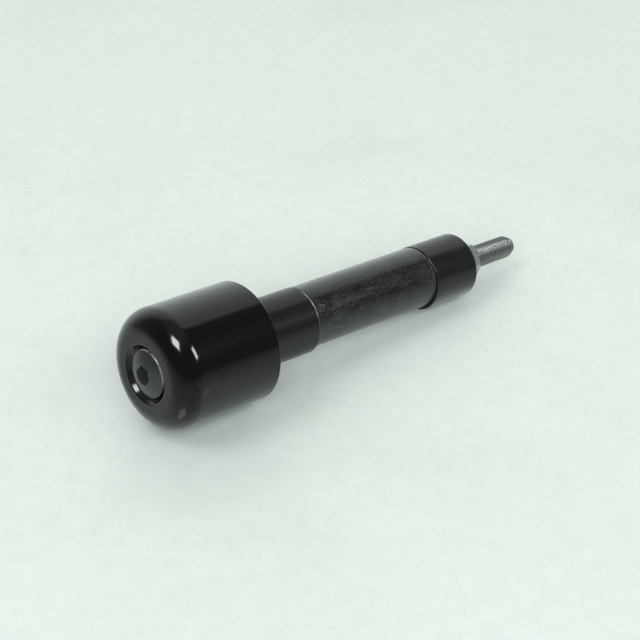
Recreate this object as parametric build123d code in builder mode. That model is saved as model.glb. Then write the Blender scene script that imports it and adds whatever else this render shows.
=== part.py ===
from build123d import *
import os
from math import cos, radians, sin, sqrt, tan

# Bar end weight for a motorbike handlebar, in millimetres.
# The origin is the centre of the knob's rear face, which seats on the end of the bar.
# +X runs along the screw into the bar and +Z is up.

# Knob outside the bar, turned in one piece with the spigot that enters it
knob_d = 30.0
knob_length = 28.7
knob_front_round = 5.7
knob_rear_break = 0.3
recess_lip_break = 0.25
spigot_length = 18.7
spigot_edge_break = 0.3

# M6 screw with a raised countersunk head and a hexagon socket
screw_d = 6.0
head_d = 12.0
head_cone_angle = 90.0
head_edge = 0.7        # straight edge between the dome and the cone
head_rise = 1.5        # height of the dome above that edge
head_sink = 0.6        # depth of the dome's edge below the knob's front face
socket_flats = 4.0
socket_depth = 3.0
socket_point_angle = 120.0
socket_turn = 69.3     # degrees from +Y towards +Z to a corner
tip_taper = 1.8        # length of the taper at the screw's tip
tip_face_d = 4.4       # flat end that the taper leaves
tip_reach = 16.5       # thread that stands out past the nut

# Pieces that go inside the bar
plug_d = 17.0          # spigot and expander, a sliding fit in the bar
tube_d = 16.0
tube_length = 41.0
tube_edge_break = 0.2
tube_slip_angle = 54.6  # degrees from +Y towards +Z, the side to which the tube has slipped
expander_length = 15.0
expander_near_break = 0.3
expander_far_break = 0.4

# Hexagon nut
nut_flats = 10.0
nut_height = 5.0
nut_face_inset = 0.3   # from the flats in to the round face that the corner chamfer leaves
nut_chamfer_angle = 30.0
nut_bore_chamfer = 0.35
nut_turn = 49.3        # degrees from +Y towards +Z to a corner

# Radial clearances
seat_gap = 0.03        # screw head to its cone in the knob
screw_clearance = 0.3  # screw to the bores of the knob and the expander
tube_clearance = 0.4   # screw to the bore of the weight tube
tube_rest_gap = 0.05   # what is left of that on the side where the tube lies on the screw
thread_gap = 0.05      # screw to the bore of the nut, whose thread is not cut here

# Stations along the axis
knob_front = -knob_length
tube_start = spigot_length
tube_end = tube_start + tube_length
expander_end = tube_end + expander_length
nut_end = expander_end + nut_height
screw_tip = nut_end + tip_reach

# Screw profile
screw_r = screw_d / 2
head_r = head_d / 2
cone_slope = tan(radians(head_cone_angle / 2))
head_edge_top = knob_front + head_sink
head_top = head_edge_top - head_rise
cone_start = head_edge_top + head_edge
cone_end = cone_start + (head_r - screw_r) / cone_slope

# The knob's cone runs on from the screw head's cone to the front face, over a clear bore
bore_r = screw_r + screw_clearance
recess_r = head_r + seat_gap + (cone_start - knob_front) * cone_slope

# The weight tube has slipped to one side of the screw
tube_slip = tube_clearance - tube_rest_gap
tube_y = tube_slip * cos(radians(tube_slip_angle))
tube_z = tube_slip * sin(radians(tube_slip_angle))


def across(x, y=0.0, z=0.0):
    """Plane square to the axis at station x, with its own X along +Y and its own Y along +Z."""
    return Plane(origin=(x, y, z), x_dir=(0, 1, 0), z_dir=(1, 0, 0))


def save(piece, name):
    """Label a finished piece and write it under that name."""
    piece.part.label = name
    export_step(piece.part, f"parts/{name}.step")


os.makedirs("parts", exist_ok=True)

# Knob: turned profile with the spigot behind it and a countersunk hole for the screw
with BuildPart() as end_knob:
    with BuildSketch(Plane.XZ) as knob_half:
        with BuildLine():
            Polyline(
                (knob_front, recess_r),
                (knob_front, knob_d / 2),
                (0, knob_d / 2),
                (0, plug_d / 2),
                (spigot_length, plug_d / 2),
                (spigot_length, bore_r),
                (knob_front + (recess_r - bore_r) / cone_slope, bore_r),
                close=True,
            )
        make_face()
        fillet(knob_half.vertices().group_by(Axis.X)[0].sort_by(Axis.Y)[-1], knob_front_round)
        chamfer(knob_half.vertices().group_by(Axis.X)[0].sort_by(Axis.Y)[0], recess_lip_break)
        chamfer(knob_half.vertices().group_by(Axis.Y)[-1].sort_by(Axis.X)[-1], knob_rear_break)
        chamfer(knob_half.vertices().group_by(Axis.X)[-1].sort_by(Axis.Y)[-1], spigot_edge_break)
    revolve(axis=Axis.X)
save(end_knob, "end_knob")

# Screw: turned profile, then the hexagon socket with its drill point
with BuildPart() as clamp_screw:
    with BuildSketch(Plane.XZ):
        with BuildLine():
            TangentArc((head_top, 0), (head_edge_top, head_r), tangent=(0, 1))
            Polyline(
                (head_edge_top, head_r),
                (cone_start, head_r),
                (cone_end, screw_r),
                (screw_tip - tip_taper, screw_r),
                (screw_tip, tip_face_d / 2),
                (screw_tip, 0),
                (head_top, 0),
            )
        make_face()
    revolve(axis=Axis.X)
    with BuildSketch(across(head_top)):
        RegularPolygon(socket_flats / 2, 6, major_radius=False, rotation=socket_turn)
    extrude(amount=socket_depth, mode=Mode.SUBTRACT)
    point_depth = socket_flats / 2 / tan(radians(socket_point_angle / 2))
    with Locations(across(head_top + socket_depth)):
        Cone(
            bottom_radius=socket_flats / 2,
            top_radius=0,
            height=point_depth,
            align=(Align.CENTER, Align.CENTER, Align.MIN),
            mode=Mode.SUBTRACT,
        )
save(clamp_screw, "clamp_screw")

# Weight tube: a length of thick steel tube, clamped a little off the screw's axis
with BuildPart() as weight_tube:
    with BuildSketch(across(tube_start, tube_y, tube_z)):
        Circle(tube_d / 2)
        Circle(screw_r + tube_clearance, mode=Mode.SUBTRACT)
    extrude(amount=tube_length)
    outer_edges = weight_tube.edges().filter_by(GeomType.CIRCLE).group_by(SortBy.RADIUS)[-1]
    chamfer(outer_edges, tube_edge_break)
save(weight_tube, "weight_tube")

# Expander: a rubber bush that swells in the bar when the screw draws the nut up
with BuildPart() as expander_bush:
    with BuildSketch(across(tube_end)):
        Circle(plug_d / 2)
        Circle(bore_r, mode=Mode.SUBTRACT)
    extrude(amount=expander_length)
    outer_edges = expander_bush.edges().filter_by(GeomType.CIRCLE).group_by(SortBy.RADIUS)[-1]
    near_edge = outer_edges.sort_by(Axis.X)[0]
    far_edge = outer_edges.sort_by(Axis.X)[-1]
    chamfer(near_edge, expander_near_break)
    chamfer(far_edge, expander_far_break)
save(expander_bush, "expander_bush")

# Nut: hexagon with both ends chamfered at the corners, and a chamfered bore
with BuildPart() as clamp_nut:
    with BuildSketch(across(expander_end)):
        RegularPolygon(nut_flats / 2, 6, major_radius=False, rotation=nut_turn)
    extrude(amount=nut_height)
    nut_corner_r = nut_flats / sqrt(3)
    nut_face_r = nut_flats / 2 - nut_face_inset
    corner_depth = (nut_corner_r - nut_face_r) * tan(radians(nut_chamfer_angle))
    with BuildSketch(Plane.XZ):
        Polygon(
            (expander_end, 0),
            (expander_end, nut_face_r),
            (expander_end + corner_depth, nut_corner_r),
            (nut_end - corner_depth, nut_corner_r),
            (nut_end, nut_face_r),
            (nut_end, 0),
            align=None,
        )
    revolve(axis=Axis.X, mode=Mode.INTERSECT)
    with Locations(across(nut_end)):
        Hole(screw_r + thread_gap)
    bore_edges = clamp_nut.edges().filter_by(GeomType.CIRCLE).group_by(SortBy.RADIUS)[0]
    chamfer(bore_edges.filter_by_position(Axis.X, expander_end, nut_end), nut_bore_chamfer)
save(clamp_nut, "clamp_nut")
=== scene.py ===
"""Bar end weight: smooth turned pieces, a threaded screw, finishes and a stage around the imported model."""

import math

import bmesh
import bpy
from bpy.props import FloatProperty, FloatVectorProperty, PointerProperty
from mathutils import Matrix, Vector


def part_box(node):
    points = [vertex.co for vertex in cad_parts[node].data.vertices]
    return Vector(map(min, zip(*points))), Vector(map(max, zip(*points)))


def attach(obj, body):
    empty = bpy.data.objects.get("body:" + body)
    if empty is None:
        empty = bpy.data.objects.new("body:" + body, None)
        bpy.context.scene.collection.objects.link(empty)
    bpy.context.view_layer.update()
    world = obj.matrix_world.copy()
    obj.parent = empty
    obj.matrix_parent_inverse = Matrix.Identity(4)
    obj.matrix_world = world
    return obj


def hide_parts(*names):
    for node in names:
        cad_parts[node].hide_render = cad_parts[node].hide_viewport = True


bl_info = {
    "name": "Bar End Weight",
    "version": (1, 0, 0),
    "blender": (4, 5, 0),
    "location": "View3D > Sidebar > Bar End",
    "description": "Builds the pieces, finishes and stage of a handlebar end weight around its packed model",
    "category": "Object",
}

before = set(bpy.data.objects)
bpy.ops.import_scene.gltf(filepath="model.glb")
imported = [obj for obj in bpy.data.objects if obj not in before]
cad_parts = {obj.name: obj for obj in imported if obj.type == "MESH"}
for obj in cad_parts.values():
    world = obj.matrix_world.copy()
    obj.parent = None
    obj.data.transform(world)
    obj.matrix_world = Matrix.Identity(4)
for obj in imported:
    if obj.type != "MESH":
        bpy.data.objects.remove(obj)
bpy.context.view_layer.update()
knob_low, knob_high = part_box("end_knob")
screw_low, screw_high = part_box("clamp_screw")
tube_low, tube_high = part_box("weight_tube")
bush_low, bush_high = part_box("expander_bush")
nut_low, nut_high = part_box("clamp_nut")

MM = 0.001
TURN = 2 * math.pi
KNOB_STEPS = 192  # points round the knob
TUBE_STEPS = 128  # points round the tube and the expander
SCREW_STEPS = 96  # points round the screw's head and the nut, the same number to each side of a hexagon
THREAD_STEPS = 64  # points in one turn of the thread
THREAD_ROWS = 16  # rows of points in one pitch of the thread


def length(name, description, default):
    """A size in metres for a property group."""
    return FloatProperty(
        name=name, description=description, default=default, precision=5, unit="LENGTH", subtype="DISTANCE"
    )


def angle(name, description, degrees):
    """An angle for a property group, given in degrees."""
    return FloatProperty(name=name, description=description, default=math.radians(degrees), subtype="ANGLE")


def spot(name, description, default):
    """A place in metres for a property group."""
    return FloatVectorProperty(
        name=name, description=description, default=default, subtype="XYZ", unit="LENGTH"
    )


def power(name, description, watts):
    """A lamp's power for a property group."""
    return FloatProperty(name=name, description=description, default=watts, unit="POWER")


def level(name, description, default):
    """A brightness of the surroundings for a property group."""
    return FloatProperty(name=name, description=description, default=default, min=0)


def colour(name, description, default):
    """A linear colour for a property group."""
    return FloatVectorProperty(
        name=name, description=description, default=default, size=3, min=0, max=1, subtype="COLOR"
    )


class KnobSizes(bpy.types.PropertyGroup):
    """Sizes of the knob and its spigot; stations run along the screw's axis"""

    front: length("Front face", "Station of the knob's front face", knob_low.x)
    radius: length("Radius", "Outside radius of the knob", knob_high.z)
    front_round: length("Front rounding", "Radius of the rounding round the front", 5.7 * MM)
    rear_round: length("Rear rounding", "Radius of the knob's rear edge", 0.3 * MM)
    lip_radius: length("Recess radius", "Radius of the screw recess at the front face", 7.33 * MM)
    lip_round: length("Recess lip", "Radius of the edge round the screw recess", 0.55 * MM)
    wall_slope: angle("Recess wall", "Slope of the recess wall above the screw head, against the axis", 37)
    wall_depth: length("Recess wall depth", "Depth of that wall below the front face", 0.95 * MM)
    spigot_radius: length("Spigot radius", "Outside radius of the spigot", bush_high.z)
    spigot_end: length("Spigot end", "Station of the spigot's far face", knob_high.x)
    spigot_break: length("Spigot edge", "Chamfer round the spigot's far face", 0.3 * MM)
    bore_radius: length("Bore radius", "Radius of the clear hole for the screw", 3.3 * MM)


class ScrewSizes(bpy.types.PropertyGroup):
    """Sizes of the screw's raised countersunk head, socket, shank and thread"""

    head_radius: length("Head radius", "Radius of the countersunk head", 6.0 * MM)
    head_sink: length("Head sink", "Depth of the dome's edge below the knob's front face", 0.6 * MM)
    head_rise: length("Head rise", "Height of the dome above its edge", 1.5 * MM)
    head_edge: length("Head edge", "Straight edge between the dome and the cone", 0.7 * MM)
    rim_round: length("Rim rounding", "Radius of the worn rim of the head", 0.16 * MM)
    socket_flats: length("Socket size", "Width across the flats of the hexagon socket", 4.0 * MM)
    socket_depth: length("Socket depth", "Depth of the socket's flats below the top of the dome", 3.0 * MM)
    socket_bevel: length("Socket bevel", "Width of the worn bevel round the socket's mouth", 0.24 * MM)
    socket_turn: angle("Socket turn", "Angle of a socket corner from +Y towards +Z", 69.3)
    shank_radius: length("Shank radius", "Radius of the plain shank and of the thread's crests", 3.0 * MM)
    thread_start: length("Thread start", "Station where the thread begins", screw_high.x - 24.0 * MM)
    tip: length("Tip", "Station of the screw's end face", screw_high.x)
    tip_taper: length("Tip taper", "Length of the taper at the screw's end", 1.8 * MM)
    tip_radius: length("Tip radius", "Radius of the flat end that the taper leaves", 2.2 * MM)
    pitch: length("Pitch", "Advance of the thread in one turn", 1.0 * MM)
    thread_depth: length("Thread depth", "Depth of the thread from crest to root", 0.613 * MM)


class TubeSizes(bpy.types.PropertyGroup):
    """Sizes of the weight tube"""

    radius: length("Radius", "Outside radius of the weight tube", (tube_high.z - tube_low.z) / 2)
    bore_radius: length("Bore radius", "Radius of the tube's bore", 3.4 * MM)
    edge_break: length("Edge break", "Chamfer round both ends", 0.2 * MM)


class ExpanderSizes(bpy.types.PropertyGroup):
    """Sizes of the rubber expander"""

    radius: length("Radius", "Outside radius of the expander", bush_high.z)
    bore_radius: length("Bore radius", "Radius of the expander's bore", 3.3 * MM)
    near_round: length("Near edge", "Radius of the edge next to the tube", 0.3 * MM)
    far_round: length("Far edge", "Radius of the edge next to the nut", 0.4 * MM)


class NutSizes(bpy.types.PropertyGroup):
    """Sizes of the hexagon nut"""

    flats: length("Width", "Width across the flats", 10.0 * MM)
    face_inset: length("Face inset", "From the flats in to the round face", 0.3 * MM)
    chamfer: angle("Corner chamfer", "Slope of the chamfer across the corners", 30.0)
    bore_radius: length("Bore radius", "Radius of the nut's bore", 3.05 * MM)
    bore_chamfer: length("Bore chamfer", "Width of the chamfer at the bore", 0.35 * MM)
    edge_round: length("Edge rounding", "Radius of the nut's edges", 0.07 * MM)
    turn: angle("Turn", "Angle of a nut corner from +Y towards +Z", 49.3)


class FinishColours(bpy.types.PropertyGroup):
    """Colours of the finishes"""

    gloss_black: colour("Gloss black", "Paint on the knob", (0.001, 0.001, 0.001))
    satin_black: colour("Satin black", "Coating on the spigot", (0.0052, 0.0054, 0.0057))
    head_grey: colour("Screw head", "Dark satin surface of the screw head", (0.016, 0.0175, 0.0165))
    socket_dust: colour("Socket dust", "Dust on the walls of the screw's socket", (0.036, 0.041, 0.036))
    bare_steel: colour("Bare steel", "Metal where a coating has worn off", (0.62, 0.63, 0.61))
    thread_steel: colour("Thread steel", "Bare thread of the screw", (0.305, 0.315, 0.305))
    # Dark colour of the thread's roots: dirt, and painted shade where the crests shade the roots
    thread_dirt_and_shade: colour("Thread dirt", "Dark film in the roots of the thread", (0.035, 0.035, 0.033))
    tube_dark: colour("Tube, dark", "Darker patches of the weight tube", (0.0052, 0.0055, 0.0055))
    tube_light: colour("Tube, light", "Lighter patches of the weight tube", (0.024, 0.0262, 0.0254))
    rubber: colour("Rubber", "Rubber of the expander", (0.004, 0.0041, 0.0042))
    rubber_dust: colour("Rubber dust", "Pale film on the expander", (0.018, 0.018, 0.017))
    zinc: colour("Zinc", "Zinc plate on the nut", (0.53, 0.57, 0.56))
    table: colour("Table", "Pale table top", (0.766, 0.825, 0.792))
    table_clouds: colour("Table clouds", "Faint greyer clouds in the table top", (0.735, 0.79, 0.76))
    table_marks: colour("Table marks", "Smudges and specks on the table top", (0.5, 0.55, 0.52))


class StageSettings(bpy.types.PropertyGroup):
    """Camera, table and light"""

    camera_place: spot("Camera", "Place of the camera", (-0.24207, -0.2758, 0.1958))
    camera_aim: spot("Aim", "Point that the camera looks at", (0.01579, -0.01075, 0.00548))
    camera_lens: FloatProperty(
        name="Lens", description="Focal length on a 36 mm sensor", default=96.9, unit="CAMERA"
    )
    table_reach: length("Table reach", "Half of the table's width", 1.2)
    lamp_centre: spot("Lamp centre", "Point in the knob that the lamps hang round", (-10 * MM, 0.0, 0.0))
    lamp_distance: length("Lamp distance", "Distance of every lamp from that point", 2.5)
    key_power: power("Key lamp", "Power of the lamp mirrored over the knob", 62.0)
    side_power: power("Side lamp", "Power of the lamp mirrored beside it", 31.0)
    front_power: power("Front lamp", "Power of the broad lamp over the camera", 34.8)
    low_power: power("Low lamp", "Power of the lamp that shines in under the knob", 32.0)
    left_power: power("Left lamp", "Power of the broad lamp ahead of the knob", 14.5)
    back_power: power("Back lamp", "Power of the broad lamp behind the table", 5.8)
    cool_light: colour("Cool light", "Colour of the lamps on the camera's side", (0.95, 1.0, 0.98))
    warm_light: colour("Warm light", "Colour of the lamps on the far side", (1.0, 0.92, 0.94))
    room_tint: colour("Room tint", "Colour of the light from the surroundings", (0.92, 1.0, 0.94))
    room: level("Room", "Light from the dim room round the table", 0.24)
    backdrop: level("Backdrop", "Light from the pale backdrop behind the table", 1.1)
    ceiling: level("Ceiling", "Light from straight above", 0.55)


class Value:
    """A number on a node's socket. Arithmetic on it adds Math nodes."""

    def __init__(self, graph, socket):
        self.graph = graph
        self.socket = socket

    def math(self, operation, *operands):
        node = self.graph.node("ShaderNodeMath", {"operation": operation}, dict(enumerate(operands)))
        return Value(self.graph, node.outputs[0])

    def __add__(self, other):
        return self.math("ADD", self, other)

    def __sub__(self, other):
        return self.math("SUBTRACT", self, other)

    def __rsub__(self, other):
        return self.math("SUBTRACT", other, self)

    def __mul__(self, other):
        return self.math("MULTIPLY", self, other)

    def __truediv__(self, other):
        return self.math("DIVIDE", self, other)

    __radd__ = __add__
    __rmul__ = __mul__

    def least(self, other):
        return self.math("MINIMUM", self, other)

    def most(self, other):
        return self.math("MAXIMUM", self, other)

    def reach(self, other):
        """Length of the vector with these two components."""
        return self.math("SQRT", self * self + other * other)

    def step(self, low, high):
        """0 below low, 1 above high, smooth between; low may be the larger."""
        settings = {"interpolation_type": "SMOOTHSTEP"}
        node = self.graph.node("ShaderNodeMapRange", settings, {0: self, 1: low, 2: high})
        return Value(self.graph, node.outputs[0])


class Graph:
    """One node tree, for a material, the world or a geometry modifier."""

    def __init__(self, tree):
        self.tree = tree
        tree.nodes.clear()

    def node(self, kind, settings=None, sockets=None):
        """A node of that type with its settings, then its sockets' values or links."""
        made = self.tree.nodes.new(kind)
        for key, value in (settings or {}).items():
            setattr(made, key, value)
        for key, value in (sockets or {}).items():
            self.feed(made.inputs[key], value)
        return made

    def feed(self, socket, value):
        """Set a socket, or link it from a Value, a socket or a list of sockets."""
        if isinstance(value, list):
            for one in value:
                self.feed(socket, one)
        elif isinstance(value, Value):
            self.tree.links.new(value.socket, socket)
        elif isinstance(value, bpy.types.NodeSocket):
            self.tree.links.new(value, socket)
        else:
            socket.default_value = value

    def split(self, vector):
        """The three components of a vector socket."""
        parts = self.node("ShaderNodeSeparateXYZ", None, {0: vector})
        return [Value(self, socket) for socket in parts.outputs]

    def join(self, x, y, z):
        """A vector socket from three components."""
        return self.node("ShaderNodeCombineXYZ", None, {0: x, 1: y, 2: z}).outputs[0]

    def blend(self, share, first, second):
        """A colour socket between two colours."""
        sockets = {0: share, 6: first, 7: second}
        return self.node("ShaderNodeMix", {"data_type": "RGBA"}, sockets).outputs[2]


class Finish(Graph):
    """A material on the piece's own coordinates."""

    def __init__(self, name):
        self.material = bpy.data.materials.new(name)
        self.material.use_nodes = True
        super().__init__(self.material.node_tree)
        self.place = self.node("ShaderNodeTexCoord").outputs["Object"]
        self.x, self.y, self.z = self.split(self.place)
        self.radius = self.y.reach(self.z)

    def noise(self, scale, stretch=(1, 1, 1), detail=3.0, roughness=0.5):
        """Cloudy noise from 0 to 1; scale counts its features to the metre."""
        sizes = tuple(scale * each for each in stretch)
        scaled = self.node("ShaderNodeVectorMath", {"operation": "MULTIPLY"}, {0: self.place, 1: sizes})
        sockets = {"Vector": scaled.outputs[0], "Scale": 1.0, "Detail": detail, "Roughness": roughness}
        return Value(self, self.node("ShaderNodeTexNoise", None, sockets).outputs[0])

    def specks(self, scale, size):
        """Small round specks, as 1 inside a speck; scale counts them to the metre."""
        sockets = {"Vector": self.place, "Scale": scale, "Randomness": 1.0}
        distance = Value(self, self.node("ShaderNodeTexVoronoi", None, sockets).outputs[0])
        return distance.step(size, size * 0.5)

    def facing(self, degrees):
        """Cosine of the angle round the axis from a direction, from +Y towards +Z."""
        turn = math.radians(degrees)
        return (self.y * math.cos(turn) + self.z * math.sin(turn)) / self.radius

    def slant(self, low, high):
        """0 where the surface faces the eye, 1 where it is seen at a slant."""
        weight = self.node("ShaderNodeLayerWeight", None, {"Blend": 0.5})
        return Value(self, weight.outputs["Facing"]).step(low, high)

    def surface(self, sockets, bump=None, depth=0.0):
        """End the material in a Principled shader, with a bump of that depth in metres if given."""
        shader = self.node("ShaderNodeBsdfPrincipled", None, sockets)
        if bump is not None:
            relief = self.node("ShaderNodeBump", None, {"Strength": 1.0, "Distance": depth, "Height": bump})
            self.feed(shader.inputs["Normal"], relief.outputs[0])
        self.node("ShaderNodeOutputMaterial", None, {0: shader.outputs[0]})
        return self.material


def rgba(rgb, share=1.0):
    """A colour for a node's socket, at a share of its brightness."""
    return (*(part * share for part in rgb), 1.0)


def knob_finish(sizes, colours):
    """Gloss black paint, satin on the spigot and in the recess, and bare metal along the spigot's far edge
    where the coating has rubbed off, kept mostly to the side where light catches it, as a painted highlight.
    """
    paint = Finish("knob_paint")
    spigot = paint.x.step(0.02 * MM, 0.06 * MM)
    clouds = paint.noise(160, detail=2)
    grain = paint.noise(2600, detail=2)
    hairlines = paint.noise(1500, (0.12, 1, 1), detail=1).step(0.66, 0.74)
    ragged = paint.x - sizes.spigot_end + paint.noise(1100, detail=3) * 0.4 * MM
    # Painted highlight as well as wear: the bare metal of the spigot's edge is kept mostly to the sides
    # facing 123 and 140 degrees, where light catches that edge; the noise gives the ragged wear
    rubbed = paint.facing(123).step(0.84, 0.96) * paint.noise(620, detail=2).step(0.3, 0.55)
    wear_and_glint = ragged.step(-0.3 * MM, -0.16 * MM) * (rubbed * 0.88 + paint.facing(140).step(-0.2, 0.7) * 0.12)
    satin = paint.blend(clouds, rgba(colours.satin_black), rgba(colours.satin_black, 1.5))
    sunk = paint.radius.step(sizes.lip_radius, sizes.lip_radius - 0.15 * MM) * (1.0 - spigot)
    coat = paint.blend((spigot + sunk).least(1.0), rgba(colours.gloss_black), satin)
    gloss = 0.1 + clouds * 0.03 + hairlines * 0.05 + sunk * 0.03
    rough = 0.2 + grain * 0.04
    return paint.surface(
        {
            "Base Color": paint.blend(wear_and_glint, coat, rgba(colours.bare_steel)),
            "Metallic": wear_and_glint * 0.35,
            "Roughness": (gloss + spigot * (rough - gloss)).most(wear_and_glint * 0.5),
            "Specular IOR Level": 0.3,
            "Coat Weight": paint.slant(0.2, 0.6) * 0.35 * (1.0 - spigot),
            "Coat Roughness": 0.06,
        },
        grain * (0.15 + spigot * 0.45) + clouds * 2.0,
        0.0006 * MM,
    )


def head_finish(sizes, top, colours):
    """Dark satin screw head, bright along part of its rim from wear and a painted highlight, and grey with
    dust in its socket.
    """
    dark = Finish("screw_head")
    mottle = dark.noise(700, detail=4)
    turned = dark.noise(5000, (1, 0.2, 0.2), detail=1)
    rim = dark.radius.step(sizes.head_radius - 0.3 * MM, sizes.head_radius - 0.08 * MM)
    # Painted highlight as well as wear: bare metal on the rim is kept to the side facing 122 degrees, where
    # light catches it
    wear_and_glint = rim * dark.facing(122).step(0.25, 0.9) * dark.noise(1100, detail=2).step(0.28, 0.55) * 0.6
    grey = dark.blend(mottle, rgba(colours.head_grey, 0.7), rgba(colours.head_grey, 1.3))
    inside = dark.x.step(top + 0.4 * MM, top + 0.9 * MM) * dark.radius.step(2.8 * MM, 2.6 * MM)
    grey = dark.blend(inside * (0.4 + mottle), grey, rgba(colours.socket_dust))
    return dark.surface(
        {
            "Base Color": dark.blend(wear_and_glint, grey, rgba(colours.bare_steel)),
            "Metallic": wear_and_glint,
            "Roughness": 0.24 + mottle * 0.1,
            "Specular IOR Level": 0.6,
        },
        mottle + turned * 0.4,
        0.004 * MM,
    )


def thread_finish(sizes, colours):
    """Grey steel thread, bright on its crests and dull in its roots, which are darkened by dirt and by
    painted shade.
    """
    steel = Finish("thread_steel")
    # Painted shade together with dirt: the colour darkens towards the roots of the thread; the tarnish spots
    # add dirt elsewhere
    root = steel.radius.step(sizes.shank_radius - 0.2 * MM, sizes.shank_radius - 0.6 * MM)
    tarnish = steel.noise(600, detail=4)
    dirt_and_root_shade = (root * 0.75 + tarnish.step(0.55, 0.75) * 0.25).least(1.0)
    return steel.surface(
        {
            "Base Color": steel.blend(dirt_and_root_shade, rgba(colours.thread_steel), rgba(colours.thread_dirt_and_shade)),
            "Metallic": 1.0 - dirt_and_root_shade * 0.4,
            "Roughness": 0.26 + dirt_and_root_shade * 0.15 + tarnish * 0.08,
        },
        tarnish,
        0.004 * MM,
    )


def tube_finish(colours):
    """Dark mottled steel with faint clouds, fine scratches, pale specks and a bare edge."""
    steel = Finish("tube_steel")
    mottle = steel.noise(1100, (0.9, 1, 1), detail=6, roughness=0.7)
    streaks = steel.noise(2000, (0.15, 1, 1), detail=3)
    clouds = steel.noise(340, (0.7, 1, 1), detail=2)
    scratches = steel.noise(3200, (0.08, 1, 1), detail=1).step(0.66, 0.72)
    scuffed = steel.x.step(31 * MM, 23 * MM) * steel.facing(148).step(0.91, 0.98)
    pale = steel.specks(900, 0.21) * (scuffed + steel.noise(110, detail=1).step(0.6, 0.7) * 0.5)
    patches = (mottle * 0.5 + streaks * 0.2 + clouds * 0.3).step(0.36, 0.64)
    edge = (steel.x + mottle * 0.2 * MM).step(tube_high.x - 0.3 * MM, tube_high.x - 0.15 * MM)
    base = steel.blend(patches, rgba(colours.tube_dark), rgba(colours.tube_light))
    marks = (scratches * 0.06 + pale * 0.24 + edge * 0.35).least(1.0)
    return steel.surface(
        {
            "Base Color": steel.blend(marks, base, rgba(colours.bare_steel)),
            "Metallic": 0.2 + marks * 0.5,
            "Roughness": 0.21 + patches * 0.06,
            "Specular IOR Level": 0.38,
            "Coat Weight": steel.slant(0.2, 0.6) * 0.5,
            "Coat Roughness": 0.26,
        },
        steel.noise(1000, (0.9, 1, 1), detail=2) + streaks * 0.15,
        0.0048 * MM,
    )


def rubber_finish(colours):
    """Smooth satin rubber with a faint pale film, rubbed shinier on its lower side."""
    rubber = Finish("expander_rubber")
    film = rubber.noise(240, (0.5, 1, 1), detail=4).step(0.42, 0.8)
    grain = rubber.noise(4200, detail=2)
    return rubber.surface(
        {
            "Base Color": rubber.blend(film * 0.35, rgba(colours.rubber), rgba(colours.rubber_dust)),
            "Roughness": 0.21 + film * 0.08 + grain * 0.05,
            "Specular IOR Level": 0.36,
            "Coat Weight": rubber.slant(0.3, 0.7) * rubber.facing(250).step(0.2, 0.8),
            "Coat Roughness": 0.2,
        },
        grain,
        0.003 * MM,
    )


def zinc_finish(colours):
    """Dull zinc plate with faint clouding."""
    zinc = Finish("nut_zinc")
    clouds = zinc.noise(520, detail=4)
    grain = zinc.noise(3500, detail=2)
    return zinc.surface(
        {
            "Base Color": zinc.blend(clouds, rgba(colours.zinc, 0.8), rgba(colours.zinc)),
            "Metallic": 0.9,
            "Roughness": 0.16 + grain * 0.08,
        },
        grain,
        0.004 * MM,
    )


def table_finish(colours):
    """Pale table top with faint clouds, smudges and specks, seen only from above.

    In the pieces' reflections it has a clear coat, weaker beside the knob.
    """
    top = Finish("table_top")
    clouds = top.noise(210, detail=5, roughness=0.65).step(0.36, 0.68)
    smudges = top.noise(9, detail=5, roughness=0.6).step(0.45, 0.85)
    fine = top.noise(900, detail=2)
    specks = top.specks(150, 0.05) * top.noise(18, detail=1).step(0.52, 0.56)
    marks = (smudges * 0.3 + specks * 0.8 + fine.step(0.5, 0.75) * 0.09).least(1.0)
    mirrored = Value(top, top.node("ShaderNodeLightPath").outputs["Is Glossy Ray"])
    beside = top.x.step(-30 * MM, -22 * MM) * top.x.step(14 * MM, 2 * MM)
    plain = top.blend(clouds * 0.85, rgba(colours.table), rgba(colours.table_clouds))
    shader = top.node(
        "ShaderNodeBsdfPrincipled",
        None,
        {
            "Base Color": top.blend(marks, plain, rgba(colours.table_marks)),
            "Roughness": 0.42 + fine * 0.12,
            "Specular IOR Level": 0.25,
            "Coat Weight": mirrored * (1.0 - beside * 0.7),
            "Coat Roughness": 0.1,
        },
    )
    under = top.node("ShaderNodeNewGeometry").outputs["Backfacing"]
    clear = top.node("ShaderNodeBsdfTransparent")
    cover = top.node("ShaderNodeMixShader", None, {0: under, 1: shader.outputs[0], 2: clear.outputs[0]})
    top.node("ShaderNodeOutputMaterial", None, {0: cover.outputs[0]})
    return top.material


def rounded(corners, closed=True):
    """Points and outward normals along a profile of (station, radius, rounding) corners.

    The outside is on the profile's left.
    """
    count = len(corners)
    places = [Vector(corner[:2]) for corner in corners]
    found = []
    for i, (station, radius, rounding) in enumerate(corners):
        here = places[i]
        before = here - places[i - 1] if closed or i > 0 else None
        after = places[(i + 1) % count] - here if closed or i < count - 1 else None
        ends = [Vector((-d.y, d.x)).normalized() for d in (before, after) if d is not None]
        if len(ends) < 2:
            found.append((here, ends[0]))
            continue
        bend = ends[0].angle_signed(ends[1])
        centre = here - (ends[0] + ends[1]) * rounding * math.copysign(1, bend) / (1 + ends[0].dot(ends[1]))
        pieces = max(2, math.ceil(abs(bend) / math.radians(9)))
        for k in range(pieces + 1):
            normal = Matrix.Rotation(-bend * k / pieces, 2) @ ends[0]
            found.append((centre + normal * rounding * math.copysign(1, bend), normal))
    return found


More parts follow.
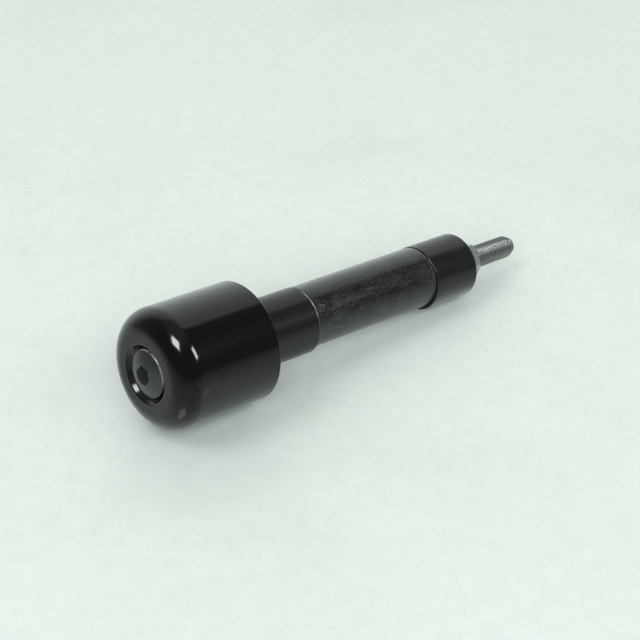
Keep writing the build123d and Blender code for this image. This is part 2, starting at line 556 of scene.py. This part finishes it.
def skin(name, rings, first=None, last=None, loop=False):
    """A closed mesh over rings of points, ended by a point at each end or joined into a loop."""
    count = len(rings[0])
    points = [point for ring in rings for point in ring]
    faces = []
    for i in range(len(rings) if loop else len(rings) - 1):
        a, b = i * count, (i + 1) % len(rings) * count
        for j in range(count):
            k = (j + 1) % count
            faces.append((a + j, a + k, b + k, b + j))
    for end, start, flip in ((first, 0, 1), (last, (len(rings) - 1) * count, -1)):
        if end is not None:
            points.append(end)
            for j in range(count):
                faces.append((len(points) - 1, start + (j + 1) % count, start + j)[::flip])
    mesh = bpy.data.meshes.new(name)
    mesh.from_pydata(points, [], faces)
    mesh.shade_smooth()
    return mesh


def circle(station, radius, count, middle=(0.0, 0.0)):
    """A ring of points round the axis."""
    turns = [TURN * j / count for j in range(count)]
    return [
        (station, middle[0] + radius * math.cos(turn), middle[1] + radius * math.sin(turn)) for turn in turns
    ]


def turned(name, corners, count, middle=(0.0, 0.0)):
    """A turned piece from its closed profile, with the profile's own normals."""
    profile = rounded(corners)
    mesh = skin(name, [circle(p.x, p.y, count, middle) for p, _ in profile], loop=True)
    normals = [normal for _, n in profile for normal in circle(n.x, n.y, count)]
    mesh.normals_split_custom_set_from_vertices(normals)
    return mesh


def piece(name, mesh, material, node):
    """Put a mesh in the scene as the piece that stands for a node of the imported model."""
    made = bpy.data.objects.new(name, mesh)
    bpy.context.scene.collection.objects.link(made)
    mesh.materials.clear()
    mesh.materials.append(material)
    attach(made, "root")
    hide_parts(node)
    return made


def outward(mesh):
    """Turn every face of a closed mesh outwards."""
    work = bmesh.new()
    work.from_mesh(mesh)
    bmesh.ops.recalc_face_normals(work, faces=work.faces)
    work.to_mesh(mesh)
    work.free()


def hexagon(flats, count):
    """Distances from the centre of a hexagon to its side, going round from a corner."""
    return [flats / 2 / math.cos(TURN * j / count % (TURN / 6) - TURN / 12) for j in range(count)]


def ring(stations, radii, turn):
    """A ring of points with its own station and radius at each angle."""
    count = len(radii)
    turns = [turn + TURN * j / count for j in range(count)]
    return [(x, r * math.cos(t), r * math.sin(t)) for x, r, t in zip(stations, radii, turns)]


def thread_tree():
    """Geometry nodes for a thread: a helical skin with a tapered tip, closed at both ends."""
    tree = bpy.data.node_groups.new("screw_thread", "GeometryNodeTree")
    tree.interface.new_socket("Geometry", in_out="OUTPUT", socket_type="NodeSocketGeometry")
    for name in ("Crest Radius", "Depth", "Pitch", "Start", "Tip", "Tip Radius", "Tip Taper"):
        tree.interface.new_socket(name, in_out="INPUT", socket_type="NodeSocketFloat")
    for name in ("Segments", "Steps"):
        tree.interface.new_socket(name, in_out="INPUT", socket_type="NodeSocketInt")
    tree.interface.new_socket("Material", in_out="INPUT", socket_type="NodeSocketMaterial")
    graph = Graph(tree)
    given = graph.node("NodeGroupInput").outputs
    numbers = [Value(graph, given[i]) for i in range(9)]
    crest, depth, pitch, start, tip, blunt, taper, segments, steps = numbers
    across, round_, _ = graph.split(graph.node("GeometryNodeInputPosition").outputs[0])

    rows = (tip - start) / pitch * steps + steps * 2
    sockets = {"Size X": 1.0, "Size Y": 1.0, "Vertices X": rows + 1, "Vertices Y": segments + 1}
    grid = graph.node("GeometryNodeMeshGrid", None, sockets)
    row = across.math("ROUND", (across + 0.5) * rows)
    turn = round_ + 0.5
    station = (start + pitch * (row / steps - 1 + turn)).most(start).least(tip)
    away = row.math("PINGPONG", row / steps, 0.5)
    flank = (away - 1 / 16) / (5 / 16)
    radius = crest - depth * flank.most(0).least(1)
    radius = radius.least(crest - depth + (station - start))
    radius = radius.least(blunt + (tip - station) * (crest - blunt) / taper)
    swing = turn * TURN
    place = graph.join(station, radius * swing.math("COSINE", swing), radius * swing.math("SINE", swing))
    helix = graph.node("GeometryNodeSetPosition", None, {"Geometry": grid.outputs[0], "Position": place})
    shells = [helix.outputs[0]]
    for end, size in ((start, crest - depth), (tip, blunt)):
        sockets = {"Vertices": segments, "Radius": size}
        disc = graph.node("GeometryNodeMeshCircle", {"fill_type": "NGON"}, sockets)
        sockets = {"Geometry": disc.outputs[0], "Position": graph.join(end, across, round_)}
        shells.append(graph.node("GeometryNodeSetPosition", None, sockets).outputs[0])
    joined = graph.node("GeometryNodeJoinGeometry", None, {0: shells})
    sockets = {"Geometry": joined.outputs[0], "Distance": 0.002 * MM}
    welded = graph.node("GeometryNodeMergeByDistance", None, sockets)
    real = graph.node("GeometryNodeRealizeInstances", None, {0: welded.outputs[0]})
    sockets = {"Geometry": real.outputs[0], "Material": given["Material"]}
    coated = graph.node("GeometryNodeSetMaterial", None, sockets)
    graph.node("NodeGroupOutput", None, {0: coated.outputs[0]})
    return tree


def grown(name, tree, values):
    """The plain mesh that a geometry node tree makes with these values of its named inputs."""
    maker = bpy.data.objects.new(name, bpy.data.meshes.new(name))
    bpy.context.scene.collection.objects.link(maker)
    nodes = maker.modifiers.new(name, "NODES")
    nodes.node_group = tree
    for item in tree.interface.items_tree:
        if item.in_out == "INPUT":
            nodes[item.identifier] = values[item.name]
    graph = bpy.context.evaluated_depsgraph_get()
    mesh = bpy.data.meshes.new_from_object(maker.evaluated_get(graph), depsgraph=graph)
    bpy.data.objects.remove(maker)
    return mesh


class BAREND_OT_knob(bpy.types.Operator):
    """Turn the knob with its spigot and its recess for the screw"""

    bl_idname = "barend.knob"
    bl_label = "Knob"

    def execute(self, context):
        sizes = context.scene.barend_knob
        recess_end = sizes.front + sizes.lip_radius - sizes.bore_radius
        wall_inset = sizes.wall_depth * math.tan(sizes.wall_slope)
        # Below the steeper wall the recess comes back to the countersink's cone, at this depth
        seat_depth = sizes.wall_depth * 1.7
        inner_round = 0.1 * MM
        break_round = 0.08 * MM
        wall_round = 0.3 * MM
        corners = [
            (sizes.front, sizes.lip_radius, sizes.lip_round),
            (sizes.front, sizes.radius, sizes.front_round),
            (0.0, sizes.radius, sizes.rear_round),
            (0.0, sizes.spigot_radius, inner_round),
            (sizes.spigot_end - sizes.spigot_break, sizes.spigot_radius, break_round),
            (sizes.spigot_end, sizes.spigot_radius - sizes.spigot_break, break_round),
            (sizes.spigot_end, sizes.bore_radius, inner_round),
            (recess_end, sizes.bore_radius, inner_round),
            (sizes.front + seat_depth, sizes.lip_radius - seat_depth, inner_round),
            (sizes.front + sizes.wall_depth, sizes.lip_radius - wall_inset, wall_round),
        ]
        mesh = turned("knob_turned", corners, KNOB_STEPS)
        material = knob_finish(sizes, context.scene.barend_colours)
        piece("knob_turned", mesh, material, "end_knob")
        return {"FINISHED"}


class BAREND_OT_screw(bpy.types.Operator):
    """Make the screw: raised countersunk head with a hexagon socket, plain shank and helical thread"""

    bl_idname = "barend.screw"
    bl_label = "Screw"

    def execute(self, context):
        sizes = context.scene.barend_screw
        colours = context.scene.barend_colours
        self.make_head(sizes, context.scene.barend_knob.front, colours)
        self.make_thread(sizes, colours)
        return {"FINISHED"}

    def make_head(self, sizes, front, colours):
        """Head and shank in one closed skin, from the bottom of the socket to the start of the thread."""
        count = SCREW_STEPS
        edge = front + sizes.head_sink
        top = edge - sizes.head_rise
        sphere = (sizes.head_radius**2 + sizes.head_rise**2) / (2 * sizes.head_rise)

        def dome(radius):
            return top + sphere - math.sqrt(sphere**2 - radius**2)

        floor = top + sizes.socket_depth
        bevel = sizes.socket_bevel
        walls = hexagon(sizes.socket_flats, count)
        mouth = [radius + bevel for radius in walls]
        drill = sizes.socket_flats / 2 * 0.97
        rim_start = sizes.head_radius - 0.5 * MM
        edge_round = 0.05 * MM
        neck_round = 0.3 * MM
        dome_rings = 10
        rings = [
            ring([floor] * count, [drill] * count, sizes.socket_turn),
            ring([floor] * count, walls, sizes.socket_turn),
            ring([dome(radius) + bevel for radius in walls], walls, sizes.socket_turn),
        ]
        for k in range(dome_rings):
            radii = [radius + (rim_start - radius) * k / dome_rings for radius in mouth]
            rings.append(ring([dome(radius) for radius in radii], radii, sizes.socket_turn))
        cone_start = edge + sizes.head_edge
        profile = [
            (dome(rim_start), rim_start, 0.0),
            (edge, sizes.head_radius, sizes.rim_round),
            (cone_start, sizes.head_radius, edge_round),
            (cone_start + sizes.head_radius - sizes.shank_radius, sizes.shank_radius, neck_round),
            (sizes.thread_start, sizes.shank_radius, edge_round),
            (sizes.thread_start, sizes.shank_radius / 2, 0.0),
        ]
        for place, _ in rounded(profile, closed=False):
            rings.append(ring([place.x] * count, [place.y] * count, sizes.socket_turn))
        drill_point = floor + drill / math.tan(math.radians(60))
        mesh = skin("screw_head", rings, (drill_point, 0.0, 0.0), (sizes.thread_start, 0.0, 0.0))
        outward(mesh)
        mesh.set_sharp_from_angle(angle=math.radians(31))
        piece("screw_head", mesh, head_finish(sizes, top, colours), "clamp_screw")

    def make_thread(self, sizes, colours):
        """Thread from the plain shank to the tapered tip."""
        material = thread_finish(sizes, colours)
        values = {
            "Crest Radius": sizes.shank_radius,
            "Depth": sizes.thread_depth,
            "Pitch": sizes.pitch,
            "Start": sizes.thread_start,
            "Tip": sizes.tip,
            "Tip Radius": sizes.tip_radius,
            "Tip Taper": sizes.tip_taper,
            "Segments": THREAD_STEPS,
            "Steps": THREAD_ROWS,
            "Material": material,
        }
        mesh = grown("screw_thread", thread_tree(), values)
        outward(mesh)
        mesh.shade_smooth()
        mesh.set_sharp_from_angle(angle=math.radians(75))
        piece("screw_thread", mesh, material, "clamp_screw")


class BAREND_OT_tube(bpy.types.Operator):
    """Turn the steel weight tube where it lies beside the screw's axis"""

    bl_idname = "barend.tube"
    bl_label = "Weight tube"

    def execute(self, context):
        sizes = context.scene.barend_tube
        middle = ((tube_low.y + tube_high.y) / 2, (tube_low.z + tube_high.z) / 2)
        shoulder = sizes.radius - sizes.edge_break
        bore_round = 0.1 * MM
        break_round = 0.05 * MM
        corners = [
            (tube_low.x, sizes.bore_radius, bore_round),
            (tube_low.x, shoulder, break_round),
            (tube_low.x + sizes.edge_break, sizes.radius, break_round),
            (tube_high.x - sizes.edge_break, sizes.radius, break_round),
            (tube_high.x, shoulder, break_round),
            (tube_high.x, sizes.bore_radius, bore_round),
        ]
        mesh = turned("tube_turned", corners, TUBE_STEPS, middle)
        piece("tube_turned", mesh, tube_finish(context.scene.barend_colours), "weight_tube")
        return {"FINISHED"}


class BAREND_OT_expander(bpy.types.Operator):
    """Mould the rubber expander"""

    bl_idname = "barend.expander"
    bl_label = "Expander"

    def execute(self, context):
        sizes = context.scene.barend_expander
        bore_round = 0.15 * MM
        corners = [
            (bush_low.x, sizes.bore_radius, bore_round),
            (bush_low.x, sizes.radius, sizes.near_round),
            (bush_high.x, sizes.radius, sizes.far_round),
            (bush_high.x, sizes.bore_radius, bore_round),
        ]
        mesh = turned("expander_moulded", corners, TUBE_STEPS)
        material = rubber_finish(context.scene.barend_colours)
        piece("expander_moulded", mesh, material, "expander_bush")
        return {"FINISHED"}


class BAREND_OT_nut(bpy.types.Operator):
    """Make the hexagon nut, chamfered across its corners on both faces"""

    bl_idname = "barend.nut"
    bl_label = "Nut"

    def execute(self, context):
        sizes = context.scene.barend_nut
        count = SCREW_STEPS
        sides = hexagon(sizes.flats, count)
        face = sizes.flats / 2 - sizes.face_inset
        drop = [(radius - face) * math.tan(sizes.chamfer) for radius in sides]
        bore, mouth = sizes.bore_radius, sizes.bore_radius + sizes.bore_chamfer
        low, high = nut_low.x, nut_high.x
        stations = (
            ([low + sizes.bore_chamfer] * count, [bore] * count),
            ([low] * count, [mouth] * count),
            ([low] * count, [face] * count),
            ([low + depth for depth in drop], sides),
            ([high - depth for depth in drop], sides),
            ([high] * count, [face] * count),
            ([high] * count, [mouth] * count),
            ([high - sizes.bore_chamfer] * count, [bore] * count),
        )
        mesh = skin("nut_hexagon", [ring(*station, sizes.turn) for station in stations], loop=True)
        outward(mesh)
        material = zinc_finish(context.scene.barend_colours)
        made = piece("nut_hexagon", mesh, material, "clamp_nut")
        bevel = made.modifiers.new("edges", "BEVEL")
        bevel.width = sizes.edge_round
        bevel.segments = 2
        bevel.limit_method = "ANGLE"
        bevel.angle_limit = math.radians(15)
        bevel.harden_normals = True
        return {"FINISHED"}


class BAREND_OT_stage(bpy.types.Operator):
    """Set the table, the lamps, the surroundings and the camera"""

    bl_idname = "barend.stage"
    bl_label = "Stage"

    def execute(self, context):
        scene = context.scene
        settings = scene.barend_stage
        scene.view_settings.view_transform = "Standard"
        knob = scene.barend_knob
        heel = Vector((-knob.rear_round, 0.0, -knob.radius))
        toe = Vector((bush_high.x - scene.barend_expander.far_round, 0.0, -scene.barend_expander.radius))
        slope = (toe - heel).normalized()
        upright = Vector((-slope.z, 0.0, slope.x))
        self.lay_table(scene, heel, slope, settings.table_reach)
        self.hang_lamps(settings)
        self.light_room(scene, settings, upright)
        self.set_camera(scene, settings, upright)
        return {"FINISHED"}

    def lay_table(self, scene, heel, slope, reach):
        """A flat table top under the knob's rear edge and the expander's far edge."""
        middle = heel + slope * 40 * MM
        aside = Vector((0.0, reach, 0.0))
        sides = ((-1, -1), (1, -1), (1, 1), (-1, 1))
        corners = [middle + slope * a * reach + aside * b for a, b in sides]
        mesh = bpy.data.meshes.new("table_top")
        mesh.from_pydata(corners, [], [(0, 1, 2, 3)])
        mesh.materials.append(table_finish(scene.barend_colours))
        table = bpy.data.objects.new("table_top", mesh)
        scene.collection.objects.link(table)

    def hang_lamps(self, settings):
        """Two lamps that only show in gloss, and four that only give diffuse light."""
        gloss = (
            ("key_lamp", (-0.61, -0.209, 0.765), (0.86, 0.86), settings.key_power, settings.cool_light),
            ("side_lamp", (0.343, -0.701, 0.626), (0.55, 0.85), settings.side_power, settings.cool_light),
        )
        diffuse = (
            ("front_lamp", (-0.2, -0.74, 0.64), (3.4, 1.2), settings.front_power, settings.cool_light),
            ("low_lamp", (-0.68, -0.62, 0.4), (2.0, 0.9), settings.low_power, settings.cool_light),
            ("left_lamp", (-0.595, 0.159, 0.788), (1.2, 1.2), settings.left_power, settings.warm_light),
            ("back_lamp", (0.4, 0.64, 0.656), (1.2, 1.2), settings.back_power, settings.warm_light),
        )
        for lamp in gloss:
            self.hang_lamp(settings, *lamp).visible_diffuse = False
        for lamp in diffuse:
            self.hang_lamp(settings, *lamp).visible_glossy = False

    def hang_lamp(self, settings, name, direction, size, watts, tint):
        """A soft lamp of that width and height, well away in a direction from the knob."""
        lamp = bpy.data.lights.new(name, "AREA")
        lamp.energy = watts
        lamp.color = tint
        lamp.shape = "RECTANGLE"
        lamp.size, lamp.size_y = size
        toward = Vector(direction)
        hung = bpy.data.objects.new(name, lamp)
        hung.location = Vector(settings.lamp_centre) + toward.normalized() * settings.lamp_distance
        hung.rotation_euler = toward.to_track_quat("Z", "Y").to_euler()
        bpy.context.scene.collection.objects.link(hung)
        return hung

    def light_room(self, scene, settings, upright):
        """A dim room with a pale backdrop behind the table; the camera sees it all pale."""
        scene.world = bpy.data.worlds.new("room")
        scene.world.use_nodes = True
        room = Graph(scene.world.node_tree)
        direction = room.node("ShaderNodeTexCoord").outputs["Generated"]
        x, y, _ = room.split(direction)
        rise = room.node("ShaderNodeVectorMath", {"operation": "DOT_PRODUCT"}, {0: direction, 1: upright})
        height = Value(room, rise.outputs["Value"])
        bearing = x.math("ARCTAN2", y, x)
        # The backdrop runs from the screw's end round to the far side, and stops short of the ceiling
        backdrop = (
            bearing.step(math.radians(-4), math.radians(4))
            * bearing.step(math.radians(125), math.radians(85))
            * height.step(0.93, 0.85)
        )
        ray = room.node("ShaderNodeLightPath").outputs
        seen = Value(room, ray["Is Camera Ray"])
        shown = 0.5 + 0.5 * Value(room, ray["Is Glossy Ray"])
        ceiling = height.step(0.8, 0.95) * (settings.ceiling - settings.room)
        pale = backdrop * (settings.backdrop - settings.room - ceiling)
        light = settings.room + shown * (ceiling + pale)
        channels = {i: light * part for i, part in enumerate(settings.room_tint)}
        tinted = room.node("ShaderNodeCombineColor", None, channels)
        shade = room.blend(seen, tinted.outputs[0], rgba(scene.barend_colours.table))
        glow = room.node("ShaderNodeBackground", None, {"Color": shade})
        room.node("ShaderNodeOutputWorld", None, {0: glow.outputs[0]})

    def set_camera(self, scene, settings, upright):
        """A camera at the photograph's viewing angle, level with the table."""
        lens = bpy.data.cameras.new("camera")
        lens.lens = settings.camera_lens
        lens.clip_start, lens.clip_end = 0.01, 10.0
        camera = bpy.data.objects.new("camera", lens)
        ahead = (Vector(settings.camera_aim) - Vector(settings.camera_place)).normalized()
        right = ahead.cross(upright).normalized()
        camera.matrix_world = Matrix.LocRotScale(
            Vector(settings.camera_place), Matrix((right, right.cross(ahead), -ahead)).transposed(), None
        )
        scene.collection.objects.link(camera)
        scene.camera = camera


class BAREND_PT_sidebar(bpy.types.Panel):
    """The pieces and the stage, with the colours that they use"""

    bl_label = "Bar End Weight"
    bl_space_type = "VIEW_3D"
    bl_region_type = "UI"
    bl_category = "Bar End"

    def draw(self, context):
        for operator in operators:
            self.layout.operator(operator.bl_idname)
        for name in FinishColours.__annotations__:
            self.layout.prop(context.scene.barend_colours, name)


groups = {
    "barend_knob": KnobSizes,
    "barend_screw": ScrewSizes,
    "barend_tube": TubeSizes,
    "barend_expander": ExpanderSizes,
    "barend_nut": NutSizes,
    "barend_colours": FinishColours,
    "barend_stage": StageSettings,
}
operators = (
    BAREND_OT_knob,
    BAREND_OT_screw,
    BAREND_OT_tube,
    BAREND_OT_expander,
    BAREND_OT_nut,
    BAREND_OT_stage,
)


def register():
    for made in (*groups.values(), *operators, BAREND_PT_sidebar):
        bpy.utils.register_class(made)
    for name, group in groups.items():
        setattr(bpy.types.Scene, name, PointerProperty(type=group))


def unregister():
    for name in groups:
        delattr(bpy.types.Scene, name)
    for made in reversed((*groups.values(), *operators, BAREND_PT_sidebar)):
        bpy.utils.unregister_class(made)


def main():
    register()
    bpy.ops.barend.knob()
    bpy.ops.barend.screw()
    bpy.ops.barend.tube()
    bpy.ops.barend.expander()
    bpy.ops.barend.nut()
    bpy.ops.barend.stage()


if __name__ == "__main__":
    main()
